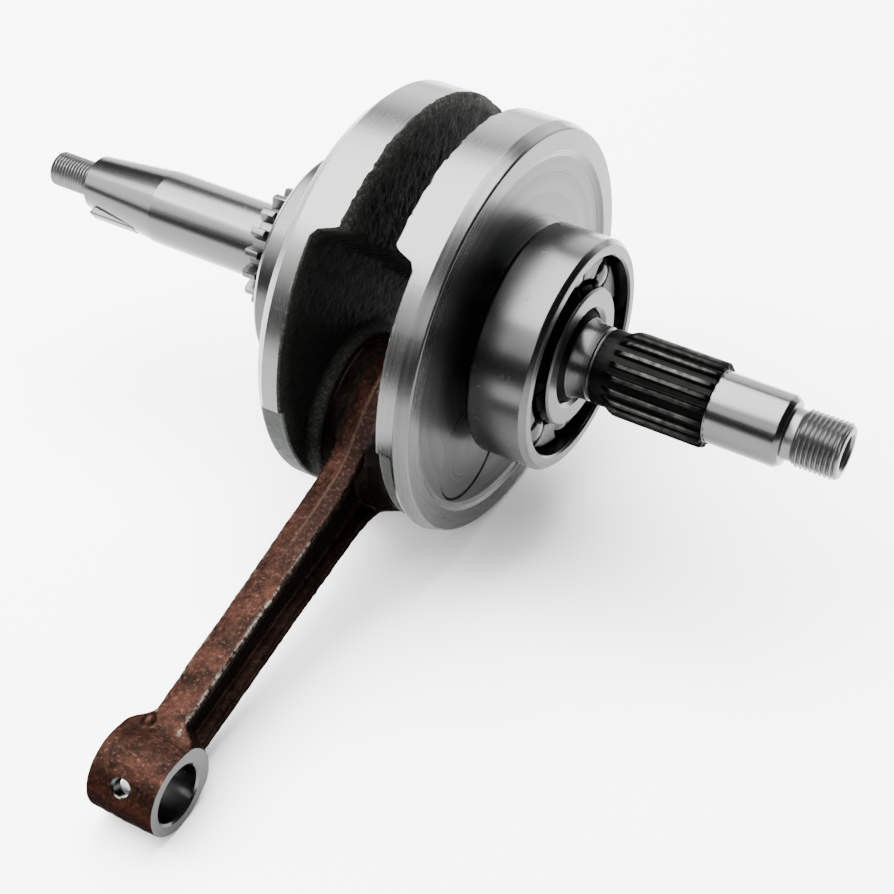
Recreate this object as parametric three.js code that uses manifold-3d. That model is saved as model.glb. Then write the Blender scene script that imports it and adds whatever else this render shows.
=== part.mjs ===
// Built-up crankshaft assembly of a 250 cc class single-cylinder engine: two forged halves, a pressed
// crank pin, a connecting rod on caged needles, two main ball bearings, a timing sprocket and a key.
// Millimetres, +Z up. +X runs along the shaft towards the splined end. The origin lies on the floor in
// the middle of the part's footprint: it rests on both web rims and on the rod's small end.
import * as THREE from 'three';
import { mergeVertices } from 'three/addons/utils/BufferGeometryUtils.js';
import Module from 'manifold-3d';

const wasm = await Module();
wasm.setup();

// Along the shaft, every length is counted from the rod's middle plane, outwards on each side.
const GAP = 0.3; // room kept between two pieces that would touch
const THROW = 31.5; // half the piston stroke
const PIN = { radius: 14.5, halfLength: 21.2 };
const PIN_DIRECTION = 224; // degrees from +Y to the crank pin, seen from the splined end
const DEGREE = Math.PI / 180;

const WEB = {
  rim: 55.4,
  rimStart: 7.9, // machined rim, from here outwards
  innerRadius: 51.8, // the forged slope from the rim ends here, on the inner face
  thickInner: 6.4, // inner face of the counterweight half
  thinInner: 13.8, // inner face of the pin half
  recess: 21.4, // recessed outer face
  recessRadius: 46.8,
  ringRadius: 48.8, // inner edge of the flat ring around the recess
  stepLow: 4, // the step from thin to thick starts here above the axis
  stepHigh: 7.4,
  shoulderRadius: 15.5,
  padFace: 10.9, // raised pads around the crank pin
  padRadius: 21,
};
const RIGHT = { rimEnd: 19, corner: 22.5, cornerRadius: 54.2, bearing: 24.35, reliefEnd: 18.1 };
const LEFT = { rimEnd: 18.8, corner: 22.1, cornerRadius: 52.4, bearing: 22.2, reliefEnd: 20.6 };
const RELIEF = { halfAngle: 43, radius: 54.1 }; // rough forged stretch of the rim, around the pin

const BEARING = {
  bore: 12.5,
  outside: 31,
  width: 17,
  pitch: 21.75,
  ball: 6,
  balls: 8,
  ballPhase: 39.3,
  innerShoulder: 18.45,
  outerShoulder: 26.8,
  groove: 6.25,
  chamfer: 1.2,
};
const BALL_CAGE = { inside: 19.2, outside: 26, closedSide: -7.7, openSide: 5, pocket: 6.3 };
const SEAT = BEARING.bore - 0.2;

const SPLINE = { start: 52.2, end: 78.9, tip: 11.27, root: 10.05, teeth: 20, phase: -3.3 };
const NECK = { radius: 9.85, end: 46.6, groove: 9.4, grooveEnd: 47.4, fillet: 4.2 };
const JOURNAL = { radius: 9.35, end: 97.8, chamfer: 0.9 };
const RIGHT_THREAD = { undercut: 99.3, start: 101.6, end: 112.9, crest: 7.45, root: 6.7, hole: 4.4, depth: 9 };
const LEFT_SHAFT = { radius: 10.57, start: 39.4, taperStart: 88.05, taperEnd: 112.85, taperRadius: 7.8 };
const LEFT_THREAD = { start: 114.6, end: 127.65, crest: 5.05, root: 4.5 };

const ROD = {
  centres: 116.5,
  bigBore: 18,
  bigOutside: 22.6,
  bigHalfWidth: 9.5,
  smallBore: 7.5,
  smallOutside: 11,
  smallHalfWidth: 9.3,
  shankHalfThickness: 4.3,
  channelDepth: 2.5,
  flangeWidth: 2.8,
  shankAtBig: 9.75, // half height of the shank
  shankAtSmall: 8.05,
  channelStart: 6, // beyond the big end's outside
  channelEnd: 4,
  oilHole: 2.2,
  oilHoleTurn: 47.4, // degrees round from the tip
};
const NEEDLES = { count: 14, radius: 1.6, halfLength: 6.9, pitch: 16.25 };
const NEEDLE_CAGE = { inside: 15, outside: 17.4, halfLength: 8.4, slotWidth: 3.9, slotHalfLength: 7.2 };
const WASHER = { inside: 14.8, outside: 20.5, near: 9.7, far: 10.6 };

const SPROCKET = { teeth: 17, phase: 6.1, tip: 16.95, root: 13.9, near: 47.85, far: 52.05, bore: 10.9, hub: 13.4 };
const KEY = { disc: 8, height: 6.5, top: 9.95, halfWidth: 2, middle: 102.4, turn: -14 };

const WEB_SIDES = 48;
const SHAFT_SIDES = 24;
const RING_SIDES = 30;
const SMALL_SIDES = 10;

const steel = (color, roughness, metalness = 0.9) =>
  new THREE.MeshStandardMaterial({ color, roughness, metalness });

// ---- solids -------------------------------------------------------------------------------------

function solidFrom(geometry) {
  const bare = geometry.clone();
  bare.deleteAttribute('normal');
  bare.deleteAttribute('uv');
  const welded = mergeVertices(bare, 1e-4);
  const triangles = [];
  for (let i = 0; i < welded.index.count; i += 3) {
    const [a, b, c] = [0, 1, 2].map((k) => welded.index.getX(i + k));
    if (a !== b && b !== c && c !== a) triangles.push(a, b, c);
  }
  const vertProperties = new Float32Array(welded.attributes.position.array);
  return new wasm.Manifold(new wasm.Mesh({ numProp: 3, vertProperties, triVerts: new Uint32Array(triangles) }));
}

function geometryFrom(solid) {
  const { vertProperties, triVerts } = solid.getMesh();
  const geometry = new THREE.BufferGeometry();
  geometry.setAttribute('position', new THREE.BufferAttribute(vertProperties, 3));
  geometry.setIndex(new THREE.BufferAttribute(triVerts, 1));
  geometry.computeVertexNormals();
  return geometry;
}

// A profile of [along, radius] points turned about the X axis.
function turned(profile, sides) {
  const points = profile.map(([along, radius]) => new THREE.Vector2(radius, along));
  return solidFrom(new THREE.LatheGeometry(points, sides).rotateZ(-Math.PI / 2));
}

function ring(inside, outside, from, to, sides) {
  return turned([[from, inside], [from, outside], [to, outside], [to, inside], [from, inside]], sides);
}

function bar(radius, from, to, y, z, sides) {
  const geometry = new THREE.CylinderGeometry(radius, radius, to - from, sides);
  geometry.rotateZ(-Math.PI / 2);
  return solidFrom(geometry.translate((from + to) / 2, y, z));
}

// An outline in the (Y, Z) plane, extruded along X.
function plate(shape, from, to, curveSegments = 12) {
  const geometry = new THREE.ExtrudeGeometry(shape, { depth: to - from, bevelEnabled: false, curveSegments });
  const acrossToX = new THREE.Matrix4().makeBasis(
    new THREE.Vector3(0, 1, 0), new THREE.Vector3(0, 0, 1), new THREE.Vector3(1, 0, 0));
  return solidFrom(geometry.applyMatrix4(acrossToX).translate(from, 0, 0));
}

function box(from, to) {
  const [low, high] = [new THREE.Vector3(...from), new THREE.Vector3(...to)];
  const size = high.clone().sub(low);
  const middle = low.clone().add(high).multiplyScalar(0.5);
  return solidFrom(new THREE.BoxGeometry(...size.toArray()).translate(...middle.toArray()));
}

function polar(radius, degrees) {
  return [radius * Math.cos(degrees * DEGREE), radius * Math.sin(degrees * DEGREE)];
}

// ---- crank halves, built outwards along +X with the crank pin below the axis --------------------

function webProfile(side) {
  return [
    [WEB.thickInner, 0],
    [WEB.thickInner, WEB.innerRadius],
    [WEB.rimStart, WEB.rim],
    [side.rimEnd, WEB.rim],
    [side.corner, side.cornerRadius],
    [side.corner, WEB.ringRadius],
    [WEB.recess, WEB.recessRadius],
    [WEB.recess, 0],
  ];
}

// Everything nearer the middle than the pin half's inner face, below the sloping step.
function thinning() {
  const shape = new THREE.Shape([
    new THREE.Vector2(0, -2 * WEB.rim),
    new THREE.Vector2(WEB.thinInner, -2 * WEB.rim),
    new THREE.Vector2(WEB.thinInner, WEB.stepLow),
    new THREE.Vector2(0, WEB.stepHigh + WEB.stepLow),
  ]);
  const geometry = new THREE.ExtrudeGeometry(shape, { depth: 4 * WEB.rim, bevelEnabled: false });
  const upright = new THREE.Matrix4().makeBasis(
    new THREE.Vector3(1, 0, 0), new THREE.Vector3(0, 0, 1), new THREE.Vector3(0, -1, 0));
  return solidFrom(geometry.applyMatrix4(upright).translate(0, 2 * WEB.rim, 0));
}

function rimRelief(end) {
  const shape = new THREE.Shape();
  const [from, to] = [(-90 - RELIEF.halfAngle) * DEGREE, (-90 + RELIEF.halfAngle) * DEGREE];
  shape.absarc(0, 0, RELIEF.radius, from, to, false);
  shape.absarc(0, 0, WEB.rim + 4, to, from, true);
  return plate(shape, 0, end);
}

function web(side) {
  return turned(webProfile(side), WEB_SIDES)
    .subtract(thinning())
    .add(bar(WEB.padRadius, WEB.padFace, WEB.thinInner + 1, 0, -THROW, RING_SIDES))
    .subtract(rimRelief(side.reliefEnd))
    .subtract(bar(PIN.radius + GAP, 0, 2 * WEB.recess, 0, -THROW, RING_SIDES));
}

function rightShaft() {
  const { fillet } = NECK;
  const seatEnd = NECK.end - fillet - 1.5;
  const flare = [0.08, 0.3, 0.62, 1].map((t) => [
    seatEnd + fillet * t,
    NECK.radius + (SEAT - NECK.radius) * (1 - Math.sqrt(1 - (1 - t) ** 2)) ** 0.75,
  ]);
  return turned([
    [WEB.recess - 2, 0],
    [WEB.recess - 2, WEB.shoulderRadius],
    [RIGHT.bearing - GAP, WEB.shoulderRadius],
    [RIGHT.bearing - GAP, SEAT],
    [seatEnd, SEAT],
    ...flare,
    [NECK.end, NECK.radius],
    [NECK.end, NECK.groove],
    [NECK.grooveEnd, NECK.groove],
    [NECK.grooveEnd, SPLINE.root],
    [SPLINE.end, SPLINE.root],
    [SPLINE.end, JOURNAL.radius],
    [JOURNAL.end, JOURNAL.radius],
    [JOURNAL.end + JOURNAL.chamfer, JOURNAL.radius - JOURNAL.chamfer],
    [RIGHT_THREAD.undercut, RIGHT_THREAD.root],
    [RIGHT_THREAD.start - 0.7, RIGHT_THREAD.root],
    [RIGHT_THREAD.start, RIGHT_THREAD.crest],
    [RIGHT_THREAD.end - 0.9, RIGHT_THREAD.crest],
    [RIGHT_THREAD.end, RIGHT_THREAD.root],
    [RIGHT_THREAD.end, RIGHT_THREAD.hole],
    [RIGHT_THREAD.end - RIGHT_THREAD.depth, RIGHT_THREAD.hole],
    [RIGHT_THREAD.end - RIGHT_THREAD.depth - 2, 0],
  ], SHAFT_SIDES);
}

function spline() {
  const shape = new THREE.Shape();
  const pitch = 360 / SPLINE.teeth;
  for (let tooth = 0; tooth < SPLINE.teeth; tooth += 1) {
    const corners = [
      [SPLINE.root - GAP, -0.28], [SPLINE.tip, -0.19], [SPLINE.tip, 0.19], [SPLINE.root - GAP, 0.28],
    ];
    for (const [radius, share] of corners) {
      const [y, z] = polar(radius, (tooth + share) * pitch + SPLINE.phase);
      if (tooth === 0 && share === -0.28) shape.moveTo(y, z);
      else shape.lineTo(y, z);
    }
  }
  return plate(shape, SPLINE.start, SPLINE.end);
}

function leftShaft() {
  return turned([
    [WEB.recess - 2, 0],
    [WEB.recess - 2, WEB.shoulderRadius],
    [LEFT.bearing - GAP, WEB.shoulderRadius],
    [LEFT.bearing - GAP, SEAT],
    [LEFT_SHAFT.start - 0.4, SEAT],
    [LEFT_SHAFT.start, LEFT_SHAFT.radius],
    [LEFT_SHAFT.taperStart, LEFT_SHAFT.radius],
    [LEFT_SHAFT.taperEnd, LEFT_SHAFT.taperRadius],
    [LEFT_SHAFT.taperEnd + 0.3, LEFT_THREAD.root],
    [LEFT_THREAD.start - 0.5, LEFT_THREAD.root],
    [LEFT_THREAD.start, LEFT_THREAD.crest],
    [LEFT_THREAD.end - 0.9, LEFT_THREAD.crest],
    [LEFT_THREAD.end, LEFT_THREAD.root - 0.3],
    [LEFT_THREAD.end, 0],
  ], SHAFT_SIDES);
}

// The key's half disc, grown by the given room on all sides for its pocket in the shaft.
function keyBlank(room) {
  const outline = new THREE.Shape();
  const drop = KEY.disc - KEY.height;
  const reach = Math.asin(drop / KEY.disc);
  outline.absarc(0, 0, KEY.disc + room, Math.PI + reach, 2 * Math.PI - reach, false);
  if (room > 0) outline.lineTo(KEY.disc + room, KEY.disc).lineTo(-KEY.disc - room, KEY.disc);
  const depth = 2 * (KEY.halfWidth + room);
  const geometry = new THREE.ExtrudeGeometry(outline, { depth, bevelEnabled: false, curveSegments: 10 });
  geometry.translate(0, 0, -depth / 2).rotateX(-Math.PI / 2);
  geometry.translate(KEY.middle, 0, -(KEY.top + drop));
  return solidFrom(geometry.rotateX(-KEY.turn * DEGREE));
}

// ---- other pieces -------------------------------------------------------------------------------

function grooveArc(shoulder, bulge) {
  const depth = Math.abs(shoulder - BEARING.pitch);
  const half = Math.acos(depth / BEARING.groove) / DEGREE;
  return [-1, -0.5, 0, 0.5, 1].map((t) => {
    const [radial, along] = polar(BEARING.groove, half * t);
    return [along, BEARING.pitch + bulge * radial];
  });
}

function outerRing() {
  const { outside, outerShoulder, chamfer } = BEARING;
  const half = BEARING.width / 2;
  const profile = [
    [half, outerShoulder], ...grooveArc(outerShoulder, 1).reverse(), [-half, outerShoulder],
    [-half, outside - chamfer], [-half + chamfer, outside], [half - chamfer, outside],
    [half, outside - chamfer], [half, outerShoulder],
  ];
  return turned(profile, RING_SIDES);
}

function innerRing() {
  const { bore, innerShoulder, chamfer } = BEARING;
  const half = BEARING.width / 2;
  const profile = [
    [-half, innerShoulder], ...grooveArc(innerShoulder, -1), [half, innerShoulder],
    [half, bore + chamfer], [half - chamfer, bore], [-half + chamfer, bore],
    [-half, bore + chamfer], [-half, innerShoulder],
  ];
  return turned(profile, RING_SIDES);
}

function ballAt(index, radius) {
  const [y, z] = polar(BEARING.pitch, BEARING.ballPhase + (index * 360) / BEARING.balls);
  return solidFrom(new THREE.IcosahedronGeometry(radius, 1).translate(0, y, z));
}

function ballCage() {
  const { inside, outside, closedSide, openSide, pocket } = BALL_CAGE;
  let cage = ring(inside, outside, closedSide, openSide, RING_SIDES);
  for (let i = 0; i < BEARING.balls; i += 1) {
    const hole = new THREE.CylinderGeometry(pocket, pocket, BEARING.pitch, SMALL_SIDES);
    const drilled = solidFrom(hole.translate(0, BEARING.pitch, 0));
    cage = cage.subtract(drilled.rotate([BEARING.ballPhase + (i * 360) / BEARING.balls, 0, 0]));
  }
  return cage;
}

function needleCage() {
  const { inside, outside, halfLength, slotWidth, slotHalfLength } = NEEDLE_CAGE;
  let cage = ring(inside, outside, -halfLength, halfLength, RING_SIDES);
  for (let i = 0; i < NEEDLES.count; i += 1) {
    const slot = box([-slotHalfLength, -slotWidth / 2, inside - 2], [slotHalfLength, slotWidth / 2, outside + 2]);
    cage = cage.subtract(slot.rotate([(i * 360) / NEEDLES.count, 0, 0]));
  }
  return cage;
}

// The rod stands with its big end at the origin and its small end straight below.
function shankOutline(inset) {
  const { centres, bigOutside, smallOutside, shankAtBig, shankAtSmall } = ROD;
  const side = [
    [bigOutside - 3 + inset, -4 - inset],
    [shankAtBig + 2.8, -bigOutside - 1],
    [shankAtBig, -bigOutside - 13],
    [shankAtSmall, -centres + smallOutside + 6],
    [shankAtSmall + 1.2, -centres + smallOutside - 1],
    [smallOutside - 3, -centres + inset],
  ];
  const right = side.map(([y, z]) => new THREE.Vector2(y - inset, z));
  const left = side.map(([y, z]) => new THREE.Vector2(inset - y, z)).reverse();
  return new THREE.Shape([...right, ...left].reverse());
}

function connectingRod() {
  const { bigHalfWidth, smallHalfWidth, shankHalfThickness, centres } = ROD;
  const web = shankHalfThickness - ROD.channelDepth;
  const clear = 2 * ROD.bigOutside;
  const outline = shankOutline(ROD.flangeWidth);
  const straight = box(
    [-clear, -clear, -centres + ROD.smallOutside + ROD.channelEnd],
    [clear, clear, -ROD.bigOutside - ROD.channelStart]);
  const channels = plate(outline, web, clear).add(plate(outline, -clear, -web)).intersect(straight);
  return plate(shankOutline(0), -shankHalfThickness, shankHalfThickness)
    .subtract(channels)
    .add(bar(ROD.bigOutside, -bigHalfWidth, bigHalfWidth, 0, 0, RING_SIDES))
    .add(bar(ROD.smallOutside, -smallHalfWidth, smallHalfWidth, 0, -centres, SHAFT_SIDES))
    .subtract(bar(ROD.bigBore, -clear, clear, 0, 0, RING_SIDES))
    .subtract(bar(ROD.smallBore, -clear, clear, 0, -centres, SHAFT_SIDES))
    .subtract(oilHole());
}

// Drilled into the small end's bore from outside, on the side that faces up in an upright engine.
function oilHole() {
  const drill = new THREE.CylinderGeometry(ROD.oilHole, ROD.oilHole, 2 * ROD.smallOutside, SMALL_SIDES);
  drill.rotateX(Math.PI / 2).translate(0, 0, -ROD.smallOutside);
  return solidFrom(drill).rotate([-ROD.oilHoleTurn, 0, 0]).translate([0, 0, -ROD.centres]);
}

function sprocket() {
  const shape = new THREE.Shape();
  const pitch = 360 / SPROCKET.teeth;
  const corners = [
    [SPROCKET.root, -0.34], [SPROCKET.tip, -0.11], [SPROCKET.tip, 0.11], [SPROCKET.root, 0.34],
  ];
  for (let tooth = 0; tooth < SPROCKET.teeth; tooth += 1) {
    corners.forEach(([radius, share], corner) => {
      const [y, z] = polar(radius, SPROCKET.phase + (tooth + share) * pitch);
      if (tooth + corner === 0) shape.moveTo(y, z);
      else shape.lineTo(y, z);
    });
  }
  const hubStart = LEFT.bearing + BEARING.width + GAP;
  return plate(shape, -SPROCKET.far, -SPROCKET.near)
    .add(bar(SPROCKET.hub, -SPROCKET.far, -hubStart, 0, 0, RING_SIDES))
    .subtract(bar(SPROCKET.bore, -2 * SPROCKET.far, 0, 0, 0, SHAFT_SIDES));
}

// ---- assembly -----------------------------------------------------------------------------------

const crankshaft = new THREE.Group();
const turning = new THREE.Group(); // the crank, its pin straight down before it is turned
const rodGroup = new THREE.Group();
crankshaft.add(turning, rodGroup);

function place(parent, name, solid, material) {
  const mesh = new THREE.Mesh(geometryFrom(solid), material);
  mesh.name = name;
  parent.add(mesh);
  return mesh;
}

const pad = (index) => String(index + 1).padStart(2, '0');
const half = (side, shaft) => web(side).add(shaft);

place(turning, 'crank_half_right', half(RIGHT, rightShaft().add(spline())), steel(0xb9babb, 0.32));
const leftHalf = place(
  turning, 'crank_half_left',
  half(LEFT, leftShaft()).subtract(keyBlank(GAP)), steel(0xb9babb, 0.32));
leftHalf.rotation.z = Math.PI;
place(turning, 'woodruff_key', keyBlank(0), steel(0x8e918c, 0.4)).rotation.z = Math.PI;
const pinBar = bar(PIN.radius, -PIN.halfLength, PIN.halfLength, 0, -THROW, RING_SIDES);
place(turning, 'crank_pin', pinBar, steel(0x5a5d5a, 0.35));
place(turning, 'timing_sprocket', sprocket(), steel(0x5f6360, 0.45));

function placeBearing(name, outboard, direction) {
  const bearing = new THREE.Group();
  bearing.position.x = direction * (outboard - BEARING.width / 2);
  if (direction < 0) bearing.rotation.z = Math.PI;
  turning.add(bearing);
  place(bearing, `${name}_outer_ring`, outerRing(), steel(0xa9aaa6, 0.3));
  place(bearing, `${name}_inner_ring`, innerRing(), steel(0xb4b5ae, 0.35));
  place(bearing, `${name}_cage`, ballCage(), steel(0x151515, 0.6, 0));
  for (let i = 0; i < BEARING.balls; i += 1) {
    place(bearing, `${name}_ball_${i + 1}`, ballAt(i, BEARING.ball), steel(0x9a9c94, 0.2));
  }
}
placeBearing('right_bearing', RIGHT.bearing + BEARING.width, 1);
placeBearing('left_bearing', LEFT.bearing + BEARING.width, -1);

place(rodGroup, 'connecting_rod', connectingRod(), steel(0x7d5146, 0.55, 0.6));
place(rodGroup, 'big_end_cage', needleCage(), steel(0x8a8c8a, 0.4));
for (let i = 0; i < NEEDLES.count; i += 1) {
  const [y, z] = polar(NEEDLES.pitch, 90 + (i * 360) / NEEDLES.count);
  const needle = bar(NEEDLES.radius, -NEEDLES.halfLength, NEEDLES.halfLength, y, z, SMALL_SIDES);
  place(rodGroup, `needle_${pad(i)}`, needle, steel(0xb0b0b0, 0.2));
}
const washer = (near, far) => ring(WASHER.inside, WASHER.outside, near, far, SHAFT_SIDES);
place(rodGroup, 'thrust_washer_right', washer(WASHER.near, WASHER.far), steel(0x9c8a5a, 0.4));
place(rodGroup, 'thrust_washer_left', washer(-WASHER.far, -WASHER.near), steel(0x9c8a5a, 0.4));

// The crank is turned to its resting angle, and the rod dips until its small end meets the floor.
turning.rotation.x = (PIN_DIRECTION - 270) * DEGREE;
const [pinY, pinZ] = polar(THROW, PIN_DIRECTION);
const dip = Math.asin((WEB.rim + pinZ - ROD.smallOutside) / ROD.centres);
turning.position.z = WEB.rim;
rodGroup.position.set(0, pinY, WEB.rim + pinZ);
rodGroup.rotation.x = dip - Math.PI / 2;

crankshaft.updateMatrixWorld(true);
const bounds = new THREE.Box3().setFromObject(crankshaft, true);
const middle = bounds.getCenter(new THREE.Vector3());
crankshaft.position.set(-middle.x, -middle.y, -bounds.min.z);

export default crankshaft;
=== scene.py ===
"""The looks of a built-up crankshaft: forged and machined halves, a plated rod, ball bearings, threads.

Every shown piece is a finely rounded mesh in the place of its CAD node. Lengths are millimetres until a
mesh is made. "Along" is the distance along the shaft from the rod's middle plane, outwards on each side.
"""

import math

import bpy
import numpy as np
from mathutils import Matrix, Vector


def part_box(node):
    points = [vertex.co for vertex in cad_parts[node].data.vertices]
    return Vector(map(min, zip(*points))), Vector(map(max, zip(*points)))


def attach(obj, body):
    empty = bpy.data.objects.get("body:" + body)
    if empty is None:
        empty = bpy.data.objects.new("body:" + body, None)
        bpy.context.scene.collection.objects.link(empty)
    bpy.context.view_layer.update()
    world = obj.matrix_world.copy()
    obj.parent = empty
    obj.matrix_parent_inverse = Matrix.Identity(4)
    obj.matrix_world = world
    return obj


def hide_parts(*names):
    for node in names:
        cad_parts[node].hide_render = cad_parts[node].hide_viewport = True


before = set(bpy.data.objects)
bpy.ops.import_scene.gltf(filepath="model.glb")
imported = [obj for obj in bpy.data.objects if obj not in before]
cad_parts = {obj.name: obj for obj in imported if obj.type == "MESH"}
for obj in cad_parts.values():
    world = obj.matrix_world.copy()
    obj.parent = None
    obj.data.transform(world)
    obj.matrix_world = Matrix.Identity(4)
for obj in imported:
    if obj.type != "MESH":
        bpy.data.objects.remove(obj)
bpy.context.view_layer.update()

MM = 0.001
DEGREE = math.pi / 180
TURN = 2 * math.pi


def middle_of(node):
    low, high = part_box(node)
    return (low + high) / 2 / MM


MID = middle_of("connecting_rod").x
AXIS = middle_of("right_bearing_outer_ring")
PIN_CENTRE = middle_of("crank_pin")
SHAFT_MIDDLE = Vector((MID, AXIS.y, AXIS.z))
PIN_MIDDLE = Vector((MID, PIN_CENTRE.y, PIN_CENTRE.z))

# Driving dimensions, close to the CAD model's. The shown model stays inside the CAD's box.
THROW = 31.5
PIN_RADIUS, PIN_HALF = 14.5, 21.2
RIM = 55.38
RIM_START, INNER_RADIUS, THICK_INNER, THIN_INNER = 7.9, 51.8, 6.4, 13.8
STEP_LOW, STEP_HIGH = 4.2, 7.9
PAD_FACE, PAD_RADIUS = 10.9, 21.0
RELIEF_HALF_ANGLE, RELIEF_RADIUS = 43 * DEGREE, 54.1
RECESS_FACE, SHOULDER_RADIUS = 21.4, 15.5
SIDES = (("right", 1), ("left", -1))
SEAT = 12.3
RIGHT = {"rim_end": 19.0, "corner": 22.5, "corner_radius": 54.2, "bearing": 24.35, "relief_end": 18.1}
LEFT = {"rim_end": 18.8, "corner": 22.1, "corner_radius": 52.4, "bearing": 22.2, "relief_end": 20.6}
PIN_ANGLE = math.atan2(PIN_CENTRE.z - AXIS.z, PIN_CENTRE.y - AXIS.y)

TEETH = 20
SPLINE_START, SPLINE_END, SPLINE_TIP, SPLINE_ROOT = 52.2, 78.9, 11.25, 9.95

ROD_CENTRES = 116.5
BIG_RADIUS, BIG_BORE, BIG_HALF = 22.6, 18.0, 9.5
SMALL_RADIUS, SMALL_BORE, SMALL_HALF = 11.0, 7.5, 9.3
ROD_DIP = math.asin((PIN_CENTRE.z - SMALL_RADIUS) / ROD_CENTRES)


# ---- materials ----


class Look:
    """A node material built from short calls."""

    def __init__(self, name, metallic=1.0, roughness=0.35, **sockets):
        self.material = bpy.data.materials.new(name)
        self.material.use_nodes = True
        self.tree = self.material.node_tree
        self.shader = self.tree.nodes["Principled BSDF"]
        for socket, value in {"Metallic": metallic, "Roughness": roughness, **sockets}.items():
            self.set(socket.replace("_", " "), value)
        self.place = self.node("ShaderNodeTexCoord").outputs["Object"]

    def node(self, kind, inputs=None, **settings):
        made = self.tree.nodes.new(kind)
        for key, value in settings.items():
            setattr(made, key, value)
        for key, value in (inputs or {}).items():
            self.link(value, made.inputs[key])
        return made

    def link(self, value, socket):
        if isinstance(value, (int, float)):
            socket.default_value = value
        elif isinstance(value, tuple):
            socket.default_value = value if len(value) == 4 else (*value, 1)
        else:
            self.tree.links.new(value, socket)

    def math(self, operation, a, b=0.0):
        return self.node("ShaderNodeMath", {0: a, 1: b}, operation=operation).outputs[0]

    def times(self, a, b):
        return self.math("MULTIPLY", a, b)

    def noise(self, scale, detail=3.0, roughness=0.55, where=None, distortion=0.0):
        inputs = {"Scale": scale, "Detail": detail, "Roughness": roughness, "Distortion": distortion}
        inputs["Vector"] = where or self.place
        return self.node("ShaderNodeTexNoise", inputs).outputs["Fac"]

    def spots(self, scale):
        return self.node("ShaderNodeTexVoronoi", {"Scale": scale, "Vector": self.place}).outputs["Distance"]

    def span(self, value, low, high, to_low=0.0, to_high=1.0):
        inputs = dict(enumerate((value, low, high, to_low, to_high)))
        return self.node("ShaderNodeMapRange", inputs, clamp=True).outputs[0]

    def mix(self, share, a, b):
        return self.node("ShaderNodeMix", {"Factor": share, 6: a, 7: b}, data_type="RGBA").outputs[2]

    def attribute(self, name):
        return self.node("ShaderNodeAttribute", attribute_name=name).outputs["Fac"]

    def coordinates(self):
        return self.node("ShaderNodeSeparateXYZ", {0: self.place}).outputs

    def around(self, centre):
        """Coordinates that change along the shaft and with the radius, and not around it."""
        x, y, z = self.coordinates()
        y = self.math("SUBTRACT", y, centre.y * MM)
        z = self.math("SUBTRACT", z, centre.z * MM)
        radius = self.math("SQRT", self.math("ADD", self.times(y, y), self.times(z, z)))
        return self.node("ShaderNodeCombineXYZ", {0: x, 1: radius}).outputs[0]

    def bump(self, height, distance, strength=1.0):
        made = self.node("ShaderNodeBump", {"Strength": strength, "Distance": distance, "Height": height})
        previous = self.shader.inputs["Normal"]
        if previous.is_linked:
            self.tree.links.new(previous.links[0].from_socket, made.inputs["Normal"])
        self.tree.links.new(made.outputs["Normal"], previous)

    def set(self, socket, value):
        self.link(value, self.shader.inputs[socket])


def machined(name, tone, roughness, lines=2600, centre=None, mark=0.000007, stain=0.05, grain=0.17):
    """Turned or ground steel: fine rings round the shaft, faint stains and a few scuffs."""
    look = Look(name)
    rings = look.noise(lines, 2.0, 0.7, look.around(centre or AXIS))
    cloud = look.noise(38, 5.0, 0.6)
    scuff = look.span(look.noise(420, 2.0, 0.5), 0.66, 0.74)
    bright = tuple(tone * (1 + stain) * k for k in (1.0, 1.0, 0.985))
    dull = tuple(tone * (1 - stain) * k for k in (1.0, 1.005, 0.99))
    grained = look.mix(look.span(rings, 0.35, 0.65), bright, dull)
    look.set("Base Color", look.mix(look.times(look.span(cloud, 0.4, 0.75), 0.5), grained, dull))
    rough = look.span(rings, 0.3, 0.7, roughness * (1 - grain), roughness * (1 + grain))
    look.set("Roughness", look.math("ADD", rough, look.times(scuff, 0.05)))
    look.bump(rings, mark, 0.6)
    return look.material


def forged_scale(name, dark, light, lumps=420, roughness=0.62):
    """Rough forged skin with black scale, lighter where it is rubbed and along the pin pad's edge, where a
    highlight is painted.
    """
    look = Look(name, metallic=0.0, Specular_IOR_Level=0.03)
    lump = look.noise(lumps, 6.0, 0.68, distortion=0.4)
    rub_and_sheen = look.attribute("rub_and_sheen")
    fleck = look.span(look.noise(lumps * 3, 3.0, 0.6), 0.5, 0.75, 0.25, 1.0)
    # Lighter where rubbed, and along the pin pad's edge, where the lightening is a painted highlight.
    look.set("Base Color", look.mix(look.times(rub_and_sheen, fleck), dark, light))
    look.set("Roughness", look.span(lump, 0.3, 0.7, roughness + 0.1, roughness - 0.1))
    look.bump(lump, 0.0005, 0.75)
    look.bump(look.spots(lumps * 2.2), 0.00016, 0.5)
    return look.material


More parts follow.
